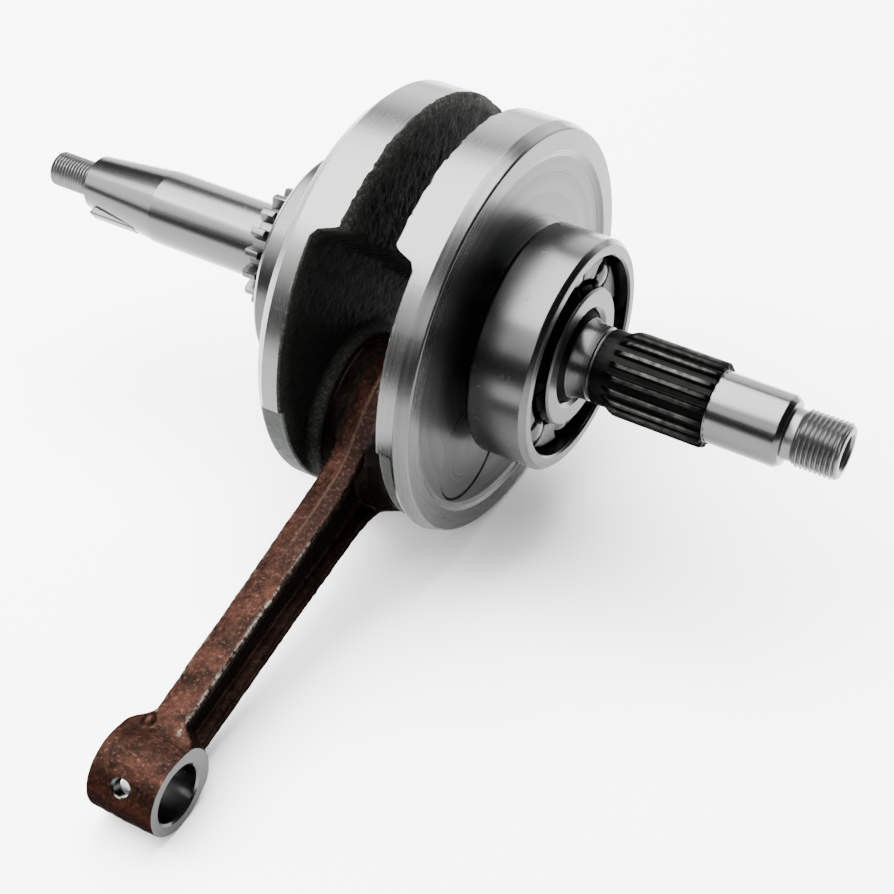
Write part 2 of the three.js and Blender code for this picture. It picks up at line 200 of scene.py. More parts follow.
def copper_plate(name):
    """Thin copper over blasted steel: brown and red mottling, a fine sparkle, worn edges, painted shade and
    reflection.
    """
    look = Look(name, metallic=0.97, Specular_IOR_Level=0.2, Specular_Tint=(0.26, 0.2, 0.17, 1))
    patch = look.noise(150, 6.0, 0.7, distortion=0.6)
    grain = look.noise(1500, 3.0, 0.62)
    speck = look.span(look.noise(1100, 4.0, 0.7), 0.55, 0.72)
    brown = look.mix(look.span(patch, 0.36, 0.64), (0.0048, 0.003, 0.0024), (0.0172, 0.0074, 0.0052))
    off = look.math("SUBTRACT", look.math("SUBTRACT", look.coordinates()[0], MID * MM), 0.0004)
    line = look.span(look.math("ABSOLUTE", off), 0.0002, 0.0006, 1.0, 0.0)
    line = look.times(line, look.attribute("seam"))
    # Painted shade: near the big end the half right of the parting line is darker, as a facet turned from the
    # light.
    right_half = look.times(look.span(off, 0.0, 0.0004, 0.0, 0.75), look.attribute("seam"))
    halves = look.mix(right_half, brown, (0.0052, 0.0034, 0.003))
    pink = look.mix(look.times(speck, 0.4), halves, (0.075, 0.038, 0.028))
    grey = look.mix(look.span(patch, 0.4, 0.6), (0.005, 0.0042, 0.0034), (0.014, 0.0105, 0.0085))
    # Painted reflection of the floor: the side faces and the channel are greyed, more on the upper half.
    sides = look.mix(look.times(look.attribute("flank"), 0.85), pink, grey)
    # Painted shade: the channel's floor and upper wall and the cheeks by the big end are darkened.
    shaded = look.mix(look.times(look.attribute("hollow_shade"), 0.88), sides, (0.0028, 0.0026, 0.0023))
    lined = look.mix(look.times(line, 0.7), shaded, (0.02, 0.012, 0.009))
    scuffed = look.times(look.attribute("wear"), look.span(look.noise(600, 4.0, 0.7), 0.44, 0.6))
    look.set("Base Color", look.mix(scuffed, lined, (0.085, 0.08, 0.068)))
    look.set("Roughness", look.span(grain, 0.3, 0.7, 0.36, 0.6))
    look.bump(grain, 0.00014, 0.85)
    look.bump(look.noise(330, 4.0, 0.6), 0.0003, 0.6)
    look.bump(line, -0.0002, 0.6)
    return look.material


def black_oxide(name, tone=0.0016):
    """Blackened steel with grey rubs."""
    look = Look(name, metallic=0.85, Specular_IOR_Level=0.15, Specular_Tint=(0.24, 0.25, 0.24, 1))
    cloud = look.noise(160, 5.0, 0.65)
    rub_and_sheen = look.times(look.attribute("rub_and_sheen"), look.span(look.noise(520, 4.0, 0.6), 0.3, 0.72))
    base = look.mix(look.span(cloud, 0.4, 0.68), (tone, tone, tone), (tone * 2.0, tone * 2.05, tone * 1.9))
    look.set("Base Color", look.mix(look.times(rub_and_sheen, 0.8), base, (0.034, 0.035, 0.032)))
    look.set("Roughness", look.span(cloud, 0.3, 0.7, 0.28, 0.46))
    look.bump(look.noise(900, 3.0, 0.6), 0.00008, 0.5)
    return look.material


def moulded_black(name):
    """Black plastic of a ball cage."""
    look = Look(name, metallic=0.0, roughness=0.5)
    grain = look.noise(900, 3.0, 0.5)
    look.set("Base Color", look.mix(look.span(grain, 0.4, 0.6), (0.003, 0.003, 0.003), (0.006, 0.006, 0.006)))
    look.set("Roughness", look.span(grain, 0.3, 0.7, 0.4, 0.6))
    look.bump(grain, 0.00003, 0.4)
    return look.material


def dull_bronze(name):
    """Dark worn bronze of a thrust washer."""
    look = Look(name, metallic=0.9)
    cloud = look.noise(260, 4.0, 0.6)
    light, dark = (0.012, 0.009, 0.006), (0.006, 0.005, 0.004)
    look.set("Base Color", look.mix(look.span(cloud, 0.35, 0.65), light, dark))
    look.set("Roughness", look.span(cloud, 0.3, 0.7, 0.35, 0.5))
    look.bump(look.noise(1800, 2.0, 0.6, look.around(PIN_CENTRE)), 0.00001, 0.6)
    return look.material


RIM_STEEL = machined("rim_steel", 0.088, 0.27)
TURNED_STEEL = machined("turned_steel", 0.062, 0.27, lines=1500, mark=0.00004)
RECESS_STEEL = machined("recess_steel", 0.036, 0.36, lines=900, mark=0.00005, stain=0.2)
SEAT_STEEL = machined("seat_steel", 0.09, 0.20)
NECK_STEEL = machined("neck_steel", 0.032, 0.26, lines=1200, mark=0.00002, stain=0.2)
THREAD_STEEL = machined("thread_steel", 0.085, 0.36, lines=4000)
SATIN_STEEL = machined("satin_steel", 0.066, 0.22, lines=3400, mark=0.000002, stain=0.03, grain=0.05)
RING_STEEL = machined("ring_steel", 0.052, 0.25, lines=3200, mark=0.000001, stain=0.02, grain=0.05)
RING_FACE = machined("ring_face", 0.05, 0.36, lines=3000)
# Painted shade: the raceways and shoulders between the rings are a darker copy of the ring steel.
SHADED_RACE_STEEL = machined("race_steel_shaded", 0.022, 0.2, lines=5000)
BALL_STEEL = machined("ball_steel", 0.04, 0.15, lines=300, mark=0.000002, stain=0.05)
PIN_STEEL = machined("pin_steel", 0.032, 0.34, lines=1600, centre=PIN_CENTRE, stain=0.2)
NEEDLE_STEEL = machined("needle_steel", 0.3, 0.16, centre=PIN_CENTRE)
CAGE_STEEL = machined("cage_steel", 0.2, 0.4, centre=PIN_CENTRE)
SPROCKET_STEEL = machined("sprocket_steel", 0.06, 0.32, lines=2000, mark=0.000003, stain=0.08)
FACE_STEEL = machined("face_steel", 0.022, 0.34, lines=2400)
KEY_STEEL = machined("key_steel", 0.06, 0.4, lines=3000)
FORGED_BLACK = forged_scale("forged_black", (0.0022, 0.0022, 0.002), (0.05, 0.052, 0.046))
FORGED_GREY = forged_scale("forged_grey", (0.03, 0.032, 0.03), (0.07, 0.072, 0.068), lumps=520, roughness=0.5)
COPPER = copper_plate("copper_plate")
SPLINE_BLACK = black_oxide("spline_black")
CAGE_BLACK = moulded_black("cage_black")
BRONZE = dull_bronze("washer_bronze")

# The materials of a crank half, and the slot of each.
CRANK_STEELS = [FORGED_BLACK, FORGED_GREY, RIM_STEEL, TURNED_STEEL, RECESS_STEEL, SEAT_STEEL, NECK_STEEL,
                SPLINE_BLACK, SATIN_STEEL, THREAD_STEEL]
FORGED, GREY, BAND, TURNED, RECESS, SEATED, NECK, SPLINE, SATIN, THREAD = range(len(CRANK_STEELS))


# ---- meshes ----


def new_object(name, data):
    made = bpy.data.objects.new(name, data)
    bpy.context.scene.collection.objects.link(made)
    return made


def make_object(name, vertices, faces, materials, slots=None, attributes=None):
    """A smooth mesh object; vertices in millimetres in the frame."""
    mesh = bpy.data.meshes.new(name)
    mesh.from_pydata([tuple(v) for v in np.asarray(vertices) * MM], [], faces)
    for material in materials:
        mesh.materials.append(material)
    if slots is not None:
        mesh.polygons.foreach_set("material_index", np.asarray(slots, np.int32))
    for key, values in (attributes or {}).items():
        mesh.attributes.new(key, "FLOAT", "POINT").data.foreach_set("value", np.asarray(values, np.float32))
    mesh.polygons.foreach_set("use_smooth", np.ones(len(faces), bool))
    mesh.update()
    return new_object(name, mesh)


def finish_normals(piece, angle=32):
    """Large flat faces keep their normals; edges over the angle stay sharp."""
    piece.data.set_sharp_from_angle(angle=angle * DEGREE)
    weighted = piece.modifiers.new("flat_faces", "WEIGHTED_NORMAL")
    weighted.keep_sharp = True
    weighted.weight = 60
    return piece


def place_piece(piece, body, slot, *nodes):
    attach(piece, body)
    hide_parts(*nodes)
    return piece


def even_angles(count):
    return np.arange(count) * TURN / count


def revolve(name, along, radius, angles, centre, side, materials, slots, close=False, rub_and_sheen=None):
    """Rings of points about the shaft direction. along and radius hold a row for each ring, either one value
    or one for each angle. slots holds a material index for each band between rings, or for its faces."""
    count = len(angles)
    along = np.broadcast_to(np.asarray(along, float).reshape(len(along), -1), (len(along), count))
    radius = np.broadcast_to(np.asarray(radius, float).reshape(len(radius), -1), (len(radius), count))
    cos, sin = np.cos(angles), np.sin(angles)
    points, ring_start, pole = [], [], []
    total = 0
    for x, r in zip(along, radius):
        row = np.stack([centre.x + side * x, centre.y + r * cos, centre.z + r * sin], 1)
        pole.append(bool(np.all(r < 1e-9)))
        points.append(row[:1] if pole[-1] else row)
        ring_start.append(total)
        total += len(points[-1])
    bands = len(along) if close else len(along) - 1
    slots = np.broadcast_to(np.asarray(slots).reshape(bands, -1), (bands, count))
    faces, face_slots = [], []
    for band in range(bands):
        after = (band + 1) % len(along)
        a, b = ring_start[band], ring_start[after]
        for j in range(count):
            k = (j + 1) % count
            here = (a, a) if pole[band] else (a + j, a + k)
            there = (b, b) if pole[after] else (b + k, b + j)
            face = tuple(dict.fromkeys(here + there))
            if len(face) > 2:
                faces.append(face if side > 0 else face[::-1])
                face_slots.append(int(slots[band, j]))
    attributes = None
    if rub_and_sheen is not None:
        rub_and_sheen = np.broadcast_to(np.asarray(rub_and_sheen, float).reshape(len(rub_and_sheen), -1), (len(rub_and_sheen), count))
        attributes = {"rub_and_sheen": np.concatenate([r[:1] if p else r for r, p in zip(rub_and_sheen, pole)])}
    return facing_out(make_object(name, np.concatenate(points), faces, materials, face_slots, attributes))


def facing_out(piece):
    """Turns the faces over where the sign of the mesh's volume says that they point inwards."""
    mesh = piece.data
    mesh.calc_loop_triangles()
    corners = np.zeros((len(mesh.vertices), 3))
    mesh.vertices.foreach_get("co", corners.ravel())
    triangles = np.zeros((len(mesh.loop_triangles), 3), np.int32)
    mesh.loop_triangles.foreach_get("vertices", triangles.ravel())
    a, b, c = corners[triangles.T]
    if np.einsum("ij,ij->i", a, np.cross(b, c)).sum() < 0:
        mesh.flip_normals()
    return piece


def prism(name, points, material):
    """A solid between two loops of points that are listed one after the other."""
    count = len(points) // 2
    faces = [tuple(range(count)), tuple(range(2 * count - 1, count - 1, -1))]
    faces += [(j, j + count, (j + 1) % count + count, (j + 1) % count) for j in range(count)]
    return facing_out(make_object(name, points, faces, [material]))


FILLET_STEPS = 4


def rounded(corners, close=False):
    """(along, radius, fillet, slot) corners to rings with each corner rounded. The slot is the material of
    what follows the corner. Returns along, radius and slots."""
    rows = []
    count = len(corners)
    for k, (x, r, fillet, slot) in enumerate(corners):
        sharp = fillet <= 0 or (not close and k in (0, count - 1))
        if not sharp:
            here = np.array([x, r], float)
            before = np.array(corners[(k - 1) % count][:2], float) - here
            after = np.array(corners[(k + 1) % count][:2], float) - here
            u, v = before / np.linalg.norm(before), after / np.linalg.norm(after)
            sharp = np.linalg.norm(u + v) < 0.02
        if sharp:
            rows.append((x, r, slot))
            continue
        half = math.acos(max(-1.0, min(1.0, float(u @ v)))) / 2
        reach = min(fillet / math.tan(half), 0.49 * np.linalg.norm(before), 0.49 * np.linalg.norm(after))
        size = reach * math.tan(half)
        centre = here + (u + v) / np.linalg.norm(u + v) * size / math.sin(half)
        start, end = here + u * reach - centre, here + v * reach - centre
        sweep = math.atan2(start[0] * end[1] - start[1] * end[0], float(start @ end))
        for turn in sweep * np.arange(FILLET_STEPS + 1) / FILLET_STEPS:
            cos, sin = math.cos(turn), math.sin(turn)
            rows.append((centre[0] + start[0] * cos - start[1] * sin,
                         centre[1] + start[0] * sin + start[1] * cos, slot))
    return [np.array(column) for column in zip(*rows)]


def turned_piece(name, corners, centre, side, materials, segments=192, close=True):
    """A body of revolution from its (along, radius, fillet, slot) corners."""
    along, radius, slots = rounded(corners, close)
    bands = slots if close else slots[:-1]
    return revolve(name, along, radius, even_angles(segments), centre, side, materials, bands, close)


def cut(piece, tool):
    """Takes the tool's volume out of the piece, and removes the tool."""
    modifier = piece.modifiers.new("cut", "BOOLEAN")
    modifier.operation = "DIFFERENCE"
    modifier.solver = "EXACT"
    modifier.material_mode = "TRANSFER"
    modifier.object = tool
    depsgraph = bpy.context.evaluated_depsgraph_get()
    result = bpy.data.meshes.new_from_object(piece.evaluated_get(depsgraph))
    piece.modifiers.clear()
    old = piece.data
    piece.data = result
    bpy.data.meshes.remove(old)
    bpy.data.objects.remove(tool)
    return piece


def smoothstep(value, low, high):
    t = np.clip((value - low) / (high - low), 0, 1)
    return t * t * (3 - 2 * t)


def tooth_rise(angles, teeth, foot, flank):
    """1 on the teeth and 0 between them. foot is half a tooth's width at its root, in pitches, and flank the
    width of its slope."""
    share = np.abs((angles / (TURN / teeth) + 0.5) % 1.0 - 0.5)
    return smoothstep(foot - share, 0, flank)


def plane_waves(count, finest, coarsest, seed):
    """A rough field without a grid: a sum of sine waves in random directions, about -1 to 1."""
    draw = np.random.default_rng(seed)
    directions = draw.normal(size=(count, 3))
    directions /= np.linalg.norm(directions, axis=1)[:, None]
    lengths = np.exp(draw.uniform(math.log(finest), math.log(coarsest), count))
    phases = draw.uniform(0, TURN, count)

    def field(points):
        flat = np.asarray(points, float).reshape(-1, 3)
        total = np.zeros(len(flat))
        for direction, length, phase in zip(directions, lengths, phases):
            total += np.sin(flat @ direction * (TURN / length) + phase)
        return (total / math.sqrt(count / 2) / 2).reshape(np.asarray(points).shape[:-1])

    return field


FORGING = plane_waves(28, 1.6, 9.0, 11)
FORGING_FINE = plane_waves(36, 0.9, 2.4, 12)


# ---- crank halves ----


def tooth_angles():
    """Sixteen directions for each spline tooth, closer together on its flanks."""
    shares = [-0.5, -0.42, -0.34, -0.29, -0.25, -0.21, -0.17, -0.12,
              0.0, 0.12, 0.17, 0.21, 0.25, 0.29, 0.34, 0.42]
    pitch = TURN / TEETH
    return np.array([(tooth + share) * pitch + SPLINE_PHASE for tooth in range(TEETH) for share in shares])


SPLINE_PHASE = PIN_ANGLE + (90 - 3.3) * DEGREE
ANGLES = tooth_angles()
# The angle of each from the crank pin's direction, -pi to pi.
FROM_PIN = (ANGLES - PIN_ANGLE + math.pi) % TURN - math.pi
FACE_RINGS, EDGE_RINGS, RINGS_PER_PITCH = 64, 8, 10


def pin_distance(radius):
    """Distance from the crank pin's axis, for every angle."""
    return np.hypot(radius * np.cos(FROM_PIN) - THROW, radius * np.sin(FROM_PIN))


def surface_points(along, radius, side):
    return np.stack([
        np.broadcast_to(MID + side * along, np.broadcast_shapes(np.shape(along), np.shape(radius))),
        AXIS.y + radius * np.cos(ANGLES),
        AXIS.z + radius * np.sin(ANGLES),
    ], -1)


def inner_face(radius, side):
    """Along of the forged inner face, for every angle. The pad round the pin is machined."""
    height = -radius * np.cos(FROM_PIN)
    face = THIN_INNER + (THICK_INNER - THIN_INNER) * smoothstep(height, STEP_LOW, STEP_HIGH)
    to_pin = pin_distance(radius)
    pad = 1 - smoothstep(to_pin, PAD_RADIUS, PAD_RADIUS + 2.6)
    face = face + (np.minimum(face, PAD_FACE) - face) * pad
    points = surface_points(face, radius, side)
    rough = smoothstep(to_pin, PAD_RADIUS - 1.0, PAD_RADIUS)
    return face + np.abs(0.16 * FORGING(points) + 0.07 * FORGING_FINE(points)) * rough


def pad_edge(radius):
    """How near a point of the inner face is to the edge of the raised pad round the pin, where a highlight is
    painted.
    """
    return np.exp(-((pin_distance(radius) - PAD_RADIUS - 0.9) / 1.2) ** 2)


class Rings:
    """The rings of a crank half, from the middle of its inner face to the end of its shaft."""

    def __init__(self):
        self.along, self.radius, self.slots, self.rub_and_sheen = [], [], [], []

    def add(self, along, radius, slot, rub_and_sheen=0.0):
        for rows, value in ((self.along, along), (self.radius, radius), (self.slots, slot), (self.rub_and_sheen, rub_and_sheen)):
            rows.append(np.broadcast_to(value, ANGLES.shape))

    def profile(self, corners):
        for along, radius, slot in zip(*rounded(corners)):
            self.add(along, radius, slot)

    def build(self, name, side):
        return revolve(name, np.array(self.along), np.array(self.radius), ANGLES, SHAFT_MIDDLE, side,
                       CRANK_STEELS, np.array(self.slots)[:-1], rub_and_sheen=np.array(self.rub_and_sheen))


def web_rings(sizes, side):
    """Rings from the middle of the inner face out to the rim and back to the corner of the outer face."""
    rings = Rings()
    every = np.ones(len(ANGLES))
    thick = smoothstep(-RIM * np.cos(FROM_PIN), STEP_LOW, STEP_HIGH)
    in_relief = 1 - smoothstep(np.abs(FROM_PIN), RELIEF_HALF_ANGLE - 0.012, RELIEF_HALF_ANGLE + 0.012)
    rim_here = RIM - (RIM - RELIEF_RADIUS) * in_relief
    edge_radius = rim_here - 0.7 - (RIM - INNER_RADIUS - 0.7) * thick
    edge_points = surface_points(RIM_START * every, RIM * every, side)
    ragged = 0.35 * FORGING(edge_points) + 0.22 * FORGING_FINE(edge_points)
    rim_start = THIN_INNER + 0.6 + (RIM_START - THIN_INNER - 0.6) * thick + thick * ragged
    rim_end, relief_end = sizes["rim_end"], sizes["relief_end"]
    corner, corner_radius = sizes["corner"], sizes["corner_radius"]

    def outer_radius(along):
        cone = RIM - (RIM - corner_radius) * np.clip((along - rim_end) / (corner - rim_end), 0, 1)
        relieved = 1 - smoothstep(along, relief_end - 0.15, relief_end + 0.15)
        low = RELIEF_RADIUS + 0.08 * FORGING(surface_points(along, RIM * every, side))
        return np.minimum(cone, cone + (low - cone) * in_relief * relieved)

    def add_band(along, slot, margin=0.0):
        """A ring of the rim or of its chamfer, forged where the rim is relieved."""
        forged = (in_relief > 0.5) & (along < relief_end - margin)
        rings.add(along, outer_radius(along), np.where(forged, GREY, slot))

    rings.add(inner_face(0.0, side).mean(), 0.0, FORGED)
    for share in np.arange(1, FACE_RINGS + 1) / FACE_RINGS:
        radius = edge_radius * share
        # Rubbing towards the web's edge, plus a painted highlight along the edge of the pin's pad.
        rub_and_sheen = 0.03 + 0.35 * smoothstep(share, 0.9, 1.0) + 0.6 * pad_edge(radius)
        rings.add(inner_face(radius, side), radius, FORGED, rub_and_sheen)
    face_end, face_radius = rings.along[-1], rings.radius[-1]
    for step in range(1, EDGE_RINGS + 1):
        t = step / EDGE_RINGS
        along = face_end + (rim_start - face_end) * t ** 1.35
        radius = face_radius + (rim_here - face_radius) * (1 - (1 - t) ** 1.5)
        points = surface_points(along, radius, side)
        lump = (0.22 * FORGING_FINE(points) + 0.12 * FORGING(points)) * thick
        lump = lump * math.sin(math.pi * min(t, 0.999))
        slot = FORGED if step < EDGE_RINGS else BAND
        rings.add(along + lump * 0.4, radius - np.abs(lump), np.where(in_relief > 0.5, GREY, slot), 1.0)
    for share in np.linspace(0, 1, 9)[1:]:
        add_band(rim_start + (rim_end - 0.25 - rim_start) * share, BAND)
    for along in (rim_end - 0.1, rim_end, rim_end + 0.12):
        add_band(along * every, TURNED)
    for along in np.linspace(rim_end, corner, 7)[1:-1]:
        add_band(along * every, TURNED, 0.3)
    return rings


def add_thread(rings, start, end, crest, root, pitch, side):
    """A helical thread that fades in at both ends."""
    count = int(round((end - start) / pitch * RINGS_PER_PITCH))
    for step in range(count + 1):
        a = start + (end - start) * step / count
        turn = (a / pitch + side * ANGLES / TURN) % 1.0
        ridge = np.clip(1 - np.abs(turn - 0.5) * 2.25, 0, 0.86) / 0.86
        fade = min(1.0, (a - start) / (0.6 * pitch), (end - a) / (0.5 * pitch))
        limit = crest - max(0.0, 1 - (end - a) / 0.9) * 0.75 - max(0.0, 1 - (a - start) / 0.9) * 0.75
        r = root + (crest - root) * ridge
        rings.add(a, np.minimum(r, limit) if fade < 1 else r, THREAD)


def outer_face(sizes, lift, shoulder_fillet, seat_fillet):
    """Corners from the rim over the outer face and its shoulder to the bearing seat."""
    corner, corner_radius, bearing = sizes["corner"], sizes["corner_radius"], sizes["bearing"]
    return [
        (corner - 0.4, corner_radius + lift, 0, TURNED),
        (corner, corner_radius - 0.2, 0.5, TURNED),
        (corner, 48.8, 0.35, TURNED),
        (RECESS_FACE + 0.5, 47.9, 0.2, TURNED),
        (RECESS_FACE, 46.8, 0.3, RECESS),
        (RECESS_FACE, SHOULDER_RADIUS, shoulder_fillet, TURNED),
        (bearing - 0.05, SHOULDER_RADIUS, seat_fillet, SEATED),
        (bearing - 0.05, SEAT + 0.18, 0, SEATED),
    ]


def add_neck(rings):
    """The concave fillet from the seat to the neck, a groove, and the collar before the spline. The fillet's
    start, inside the bearing's bore, takes the black oxide as painted shade.
    """
    start, end, seat, neck = 41.0, 46.6, SEAT - 0.1, 9.85
    for share in np.linspace(0.04, 1, 14):
        drop = (1 - (1 - share) ** 2) ** 0.5
        # Painted shade: the first part of the fillet is black oxide, for the dark gap inside the bearing's
        # bore.
        slot = SPLINE if share < 0.15 else NECK
        rings.add(start + (end - start) * share, seat - (seat - neck) * drop, slot)
    rings.profile([
        (47.0, neck, 0, NECK), (47.3, 9.35, 0.1, NECK), (47.9, 9.35, 0.1, NECK), (48.3, 9.95, 0.2, SPLINE),
        (50.9, 9.95, 0.3, SPLINE), (SPLINE_START - 0.1, SPLINE_ROOT, 0, SPLINE),
    ])


def add_spline(rings):
    """Rounded teeth with run-outs at their inboard ends."""
    tooth = tooth_rise(ANGLES - SPLINE_PHASE, TEETH, 0.27, 0.14)
    run_out = ((0, 0.02), (0.4, 0.2), (0.9, 0.42), (1.5, 0.65), (2.1, 0.84), (2.7, 0.96), (3.3, 1))
    levels = [(SPLINE_START + past, level) for past, level in run_out]
    levels += [(58, 1), (66, 1), (74, 1)]
    levels += [(SPLINE_END - left, level) for left, level in ((0.9, 1), (0.5, 0.9), (0.05, 0.6))]
    for along, level in levels:
        worn = tooth ** 2 if 54 < along < 78 else 0.0
        rise = soft_min(tooth, level, 0.12)
        rings.add(along, SPLINE_ROOT + (SPLINE_TIP - SPLINE_ROOT) * rise, SPLINE, worn)


def right_half():
    rings = web_rings(RIGHT, 1)
    rings.profile(outer_face(RIGHT, 0.14, 0.5, 0.4) + [(40.1, SEAT + 0.18, 0.4, SPLINE)])
    add_neck(rings)
    add_spline(rings)
    rings.profile([
        (SPLINE_END, 9.45, 0, SATIN), (SPLINE_END + 0.15, 9.35, 0, SATIN), (97.0, 9.35, 0.3, SATIN),
        (98.4, 8.35, 0.35, SATIN), (98.6, 6.75, 0.4, THREAD), (100.6, 6.6, 0.3, THREAD),
    ])
    add_thread(rings, 100.9, 112.75, 7.42, 6.72, 1.25, 1)
    rings.profile([
        (112.85, 6.2, 0.1, THREAD), (112.9, 5.0, 0.2, THREAD), (112.2, 4.4, 0.2, THREAD),
        (103.9, 4.4, 0.2, THREAD), (102.0, 0.0, 0, THREAD),
    ])
    return cut(rings.build("right_crank_half", 1), pin_hole(1))


def left_half():
    rings = web_rings(LEFT, -1)
    rings.profile(outer_face(LEFT, 0.36, 0.3, 0.3) + [
        (39.0, SEAT + 0.18, 0.3, SATIN), (39.4, 10.57, 0.3, SATIN), (88.05, 10.57, 3.0, SATIN),
        (112.6, 7.83, 0.3, SATIN), (112.85, 7.5, 0.1, SATIN), (112.95, 4.5, 0.3, THREAD),
        (114.2, 4.45, 0.2, THREAD),
    ])
    add_thread(rings, 114.4, 127.5, 5.02, 4.6, 1.0, -1)
    rings.profile([
        (127.6, 4.2, 0.1, THREAD), (127.65, 1.8, 0.2, THREAD), (126.9, 1.2, 0.1, THREAD),
        (125.4, 0.0, 0, THREAD),
    ])
    piece = cut(rings.build("left_crank_half", -1), pin_hole(-1))
    return cut(piece, key_solid("key_pocket", 0.08, 3.0, SATIN_STEEL))


def pin_hole(side):
    """The bore for the crank pin, with a small chamfer where it opens. The cut faces take the black forged
    material, painted shade of the gap round the pin's end.
    """
    hole = PIN_RADIUS + 0.1
    corners = [(4.0, 0, 0, 0), (4.0, hole, 0, 0), (RECESS_FACE - 0.45, hole, 0, 0),
               (RECESS_FACE + 0.05, hole + 0.5, 0, 0), (RECESS_FACE + 2.0, hole + 0.5, 0, 0),
               (RECESS_FACE + 2.0, 0, 0, 0)]
    # The black forged material of this tool is painted shade on the chamfer round the pin.
    return turned_piece("pin_hole_tool", corners, PIN_MIDDLE, side, [FORGED_BLACK], 128, close=False)


KEY_DISC, KEY_HEIGHT, KEY_TOP, KEY_HALF, KEY_MIDDLE = 8.0, 6.5, 9.95, 2.0, 102.4
KEY_ANGLE = PIN_ANGLE - 14 * DEGREE
KEY_STEPS = 40


def key_solid(name, room, above, material, bevel=0.0):
    """A half disc standing in the left taper, with its flat on top. above lengthens it for a pocket."""
    drop = KEY_DISC - KEY_HEIGHT
    centre_height = KEY_TOP + drop
    start = math.asin(drop / KEY_DISC)
    outline = []
    reach = KEY_DISC + room
    for step in range(KEY_STEPS + 1):
        turn = math.pi + start + (math.pi - 2 * start) * step / KEY_STEPS
        outline.append((reach * math.cos(turn), centre_height + reach * math.sin(turn)))
    if above > 0:
        outline += [(outline[-1][0], KEY_TOP + above), (outline[0][0], KEY_TOP + above)]
    half = KEY_HALF + room
    out = np.array([0, math.cos(KEY_ANGLE), math.sin(KEY_ANGLE)])
    across = np.array([0, -math.sin(KEY_ANGLE), math.cos(KEY_ANGLE)])
    base = np.array([MID - KEY_MIDDLE, AXIS.y, AXIS.z])
    points = [base + np.array([x, 0, 0]) + out * h + across * w for w in (-half, half) for x, h in outline]
    made = prism(name, points, material)
    if bevel > 0:
        edges = made.modifiers.new("edges", "BEVEL")
        edges.width = bevel * MM
        edges.segments = 3
        edges.limit_method = "ANGLE"
        edges.angle_limit = 60 * DEGREE
    return made


def make_crank_halves():
    place_piece(finish_normals(right_half()), "crankshaft", "forged_steel", "crank_half_right")
    place_piece(finish_normals(left_half()), "crankshaft", "forged_steel", "crank_half_left")


def make_pin_and_key():
    corners = [(-PIN_HALF, 0, 0, 0), (-PIN_HALF, 3.4, 0.2, 0), (-PIN_HALF, PIN_RADIUS, 0.35, 0),
               (PIN_HALF, PIN_RADIUS, 0.35, 0), (PIN_HALF, 3.4, 0.2, 0), (PIN_HALF, 0, 0, 0)]
    pin = turned_piece("crank_pin_body", corners, PIN_MIDDLE, 1, [PIN_STEEL], 160, close=False)
    place_piece(finish_normals(pin), "crankshaft", "pin_steel", "crank_pin")
    key = key_solid("woodruff_key_body", 0, 0, KEY_STEEL, 0.45)
    place_piece(finish_normals(key), "crankshaft", "key_steel", "woodruff_key")


# ---- sprocket ----

SPROCKET_TEETH, SPROCKET_PHASE = 17, 6.1 * DEGREE - 46 * DEGREE
SPROCKET_TIP, SPROCKET_ROOT, SPROCKET_NEAR, SPROCKET_FAR = 16.9, 13.7, 47.85, 52.05
ANGLES_PER_TOOTH = 20


def make_sprocket():
    angles = even_angles(SPROCKET_TEETH * ANGLES_PER_TOOTH) + SPROCKET_PHASE
    rise = tooth_rise(angles - SPROCKET_PHASE, SPROCKET_TEETH, 0.30, 0.17)
    tooth = SPROCKET_ROOT + (SPROCKET_TIP - SPROCKET_ROOT) * rise
    hub, bore, hub_near = 13.3, 10.72, 39.55
    near, far = SPROCKET_NEAR, SPROCKET_FAR
    rings = [
        (hub_near + 0.3, bore), (hub_near, bore + 0.3), (hub_near, hub - 0.4), (hub_near + 0.4, hub),
        (near - 0.02, hub), (near, np.minimum(tooth, 13.6)), (near, tooth - 0.45),
        (near + 0.12, tooth - 0.15), (near + 0.4, tooth), (far - 0.4, tooth), (far - 0.12, tooth - 0.15),
        (far, tooth - 0.45), (far, np.minimum(tooth, 13.0)), (far, bore + 0.4), (far - 0.4, bore),
    ]
    along, radius = (np.array([np.broadcast_to(ring[k], angles.shape) for ring in rings]) for k in (0, 1))
    piece = revolve("timing_sprocket_body", along, radius, angles, SHAFT_MIDDLE, -1, [SPROCKET_STEEL],
                    np.zeros(len(rings), int), close=True)
    place_piece(finish_normals(piece), "crankshaft", "sprocket_steel", "timing_sprocket")


# ---- ball bearings ----

BEARING_HALF, BEARING_OUTSIDE, BEARING_BORE = 8.5, 31.0, 12.5
PITCH, BALL, GROOVE = 21.75, 6.0, 6.2
OUTER_SHOULDER, INNER_SHOULDER = 26.8, 18.45
BALLS, BALL_STEPS = 8, 48


def groove(shoulder, bulge, slot):
    """The raceway's arc, from minus to plus along."""
    half = math.acos(abs(shoulder - PITCH) / GROOVE)
    return [(GROOVE * math.sin(half * t), PITCH + bulge * GROOVE * math.cos(half * t), 0, slot)
            for t in np.linspace(-1, 1, 17)]


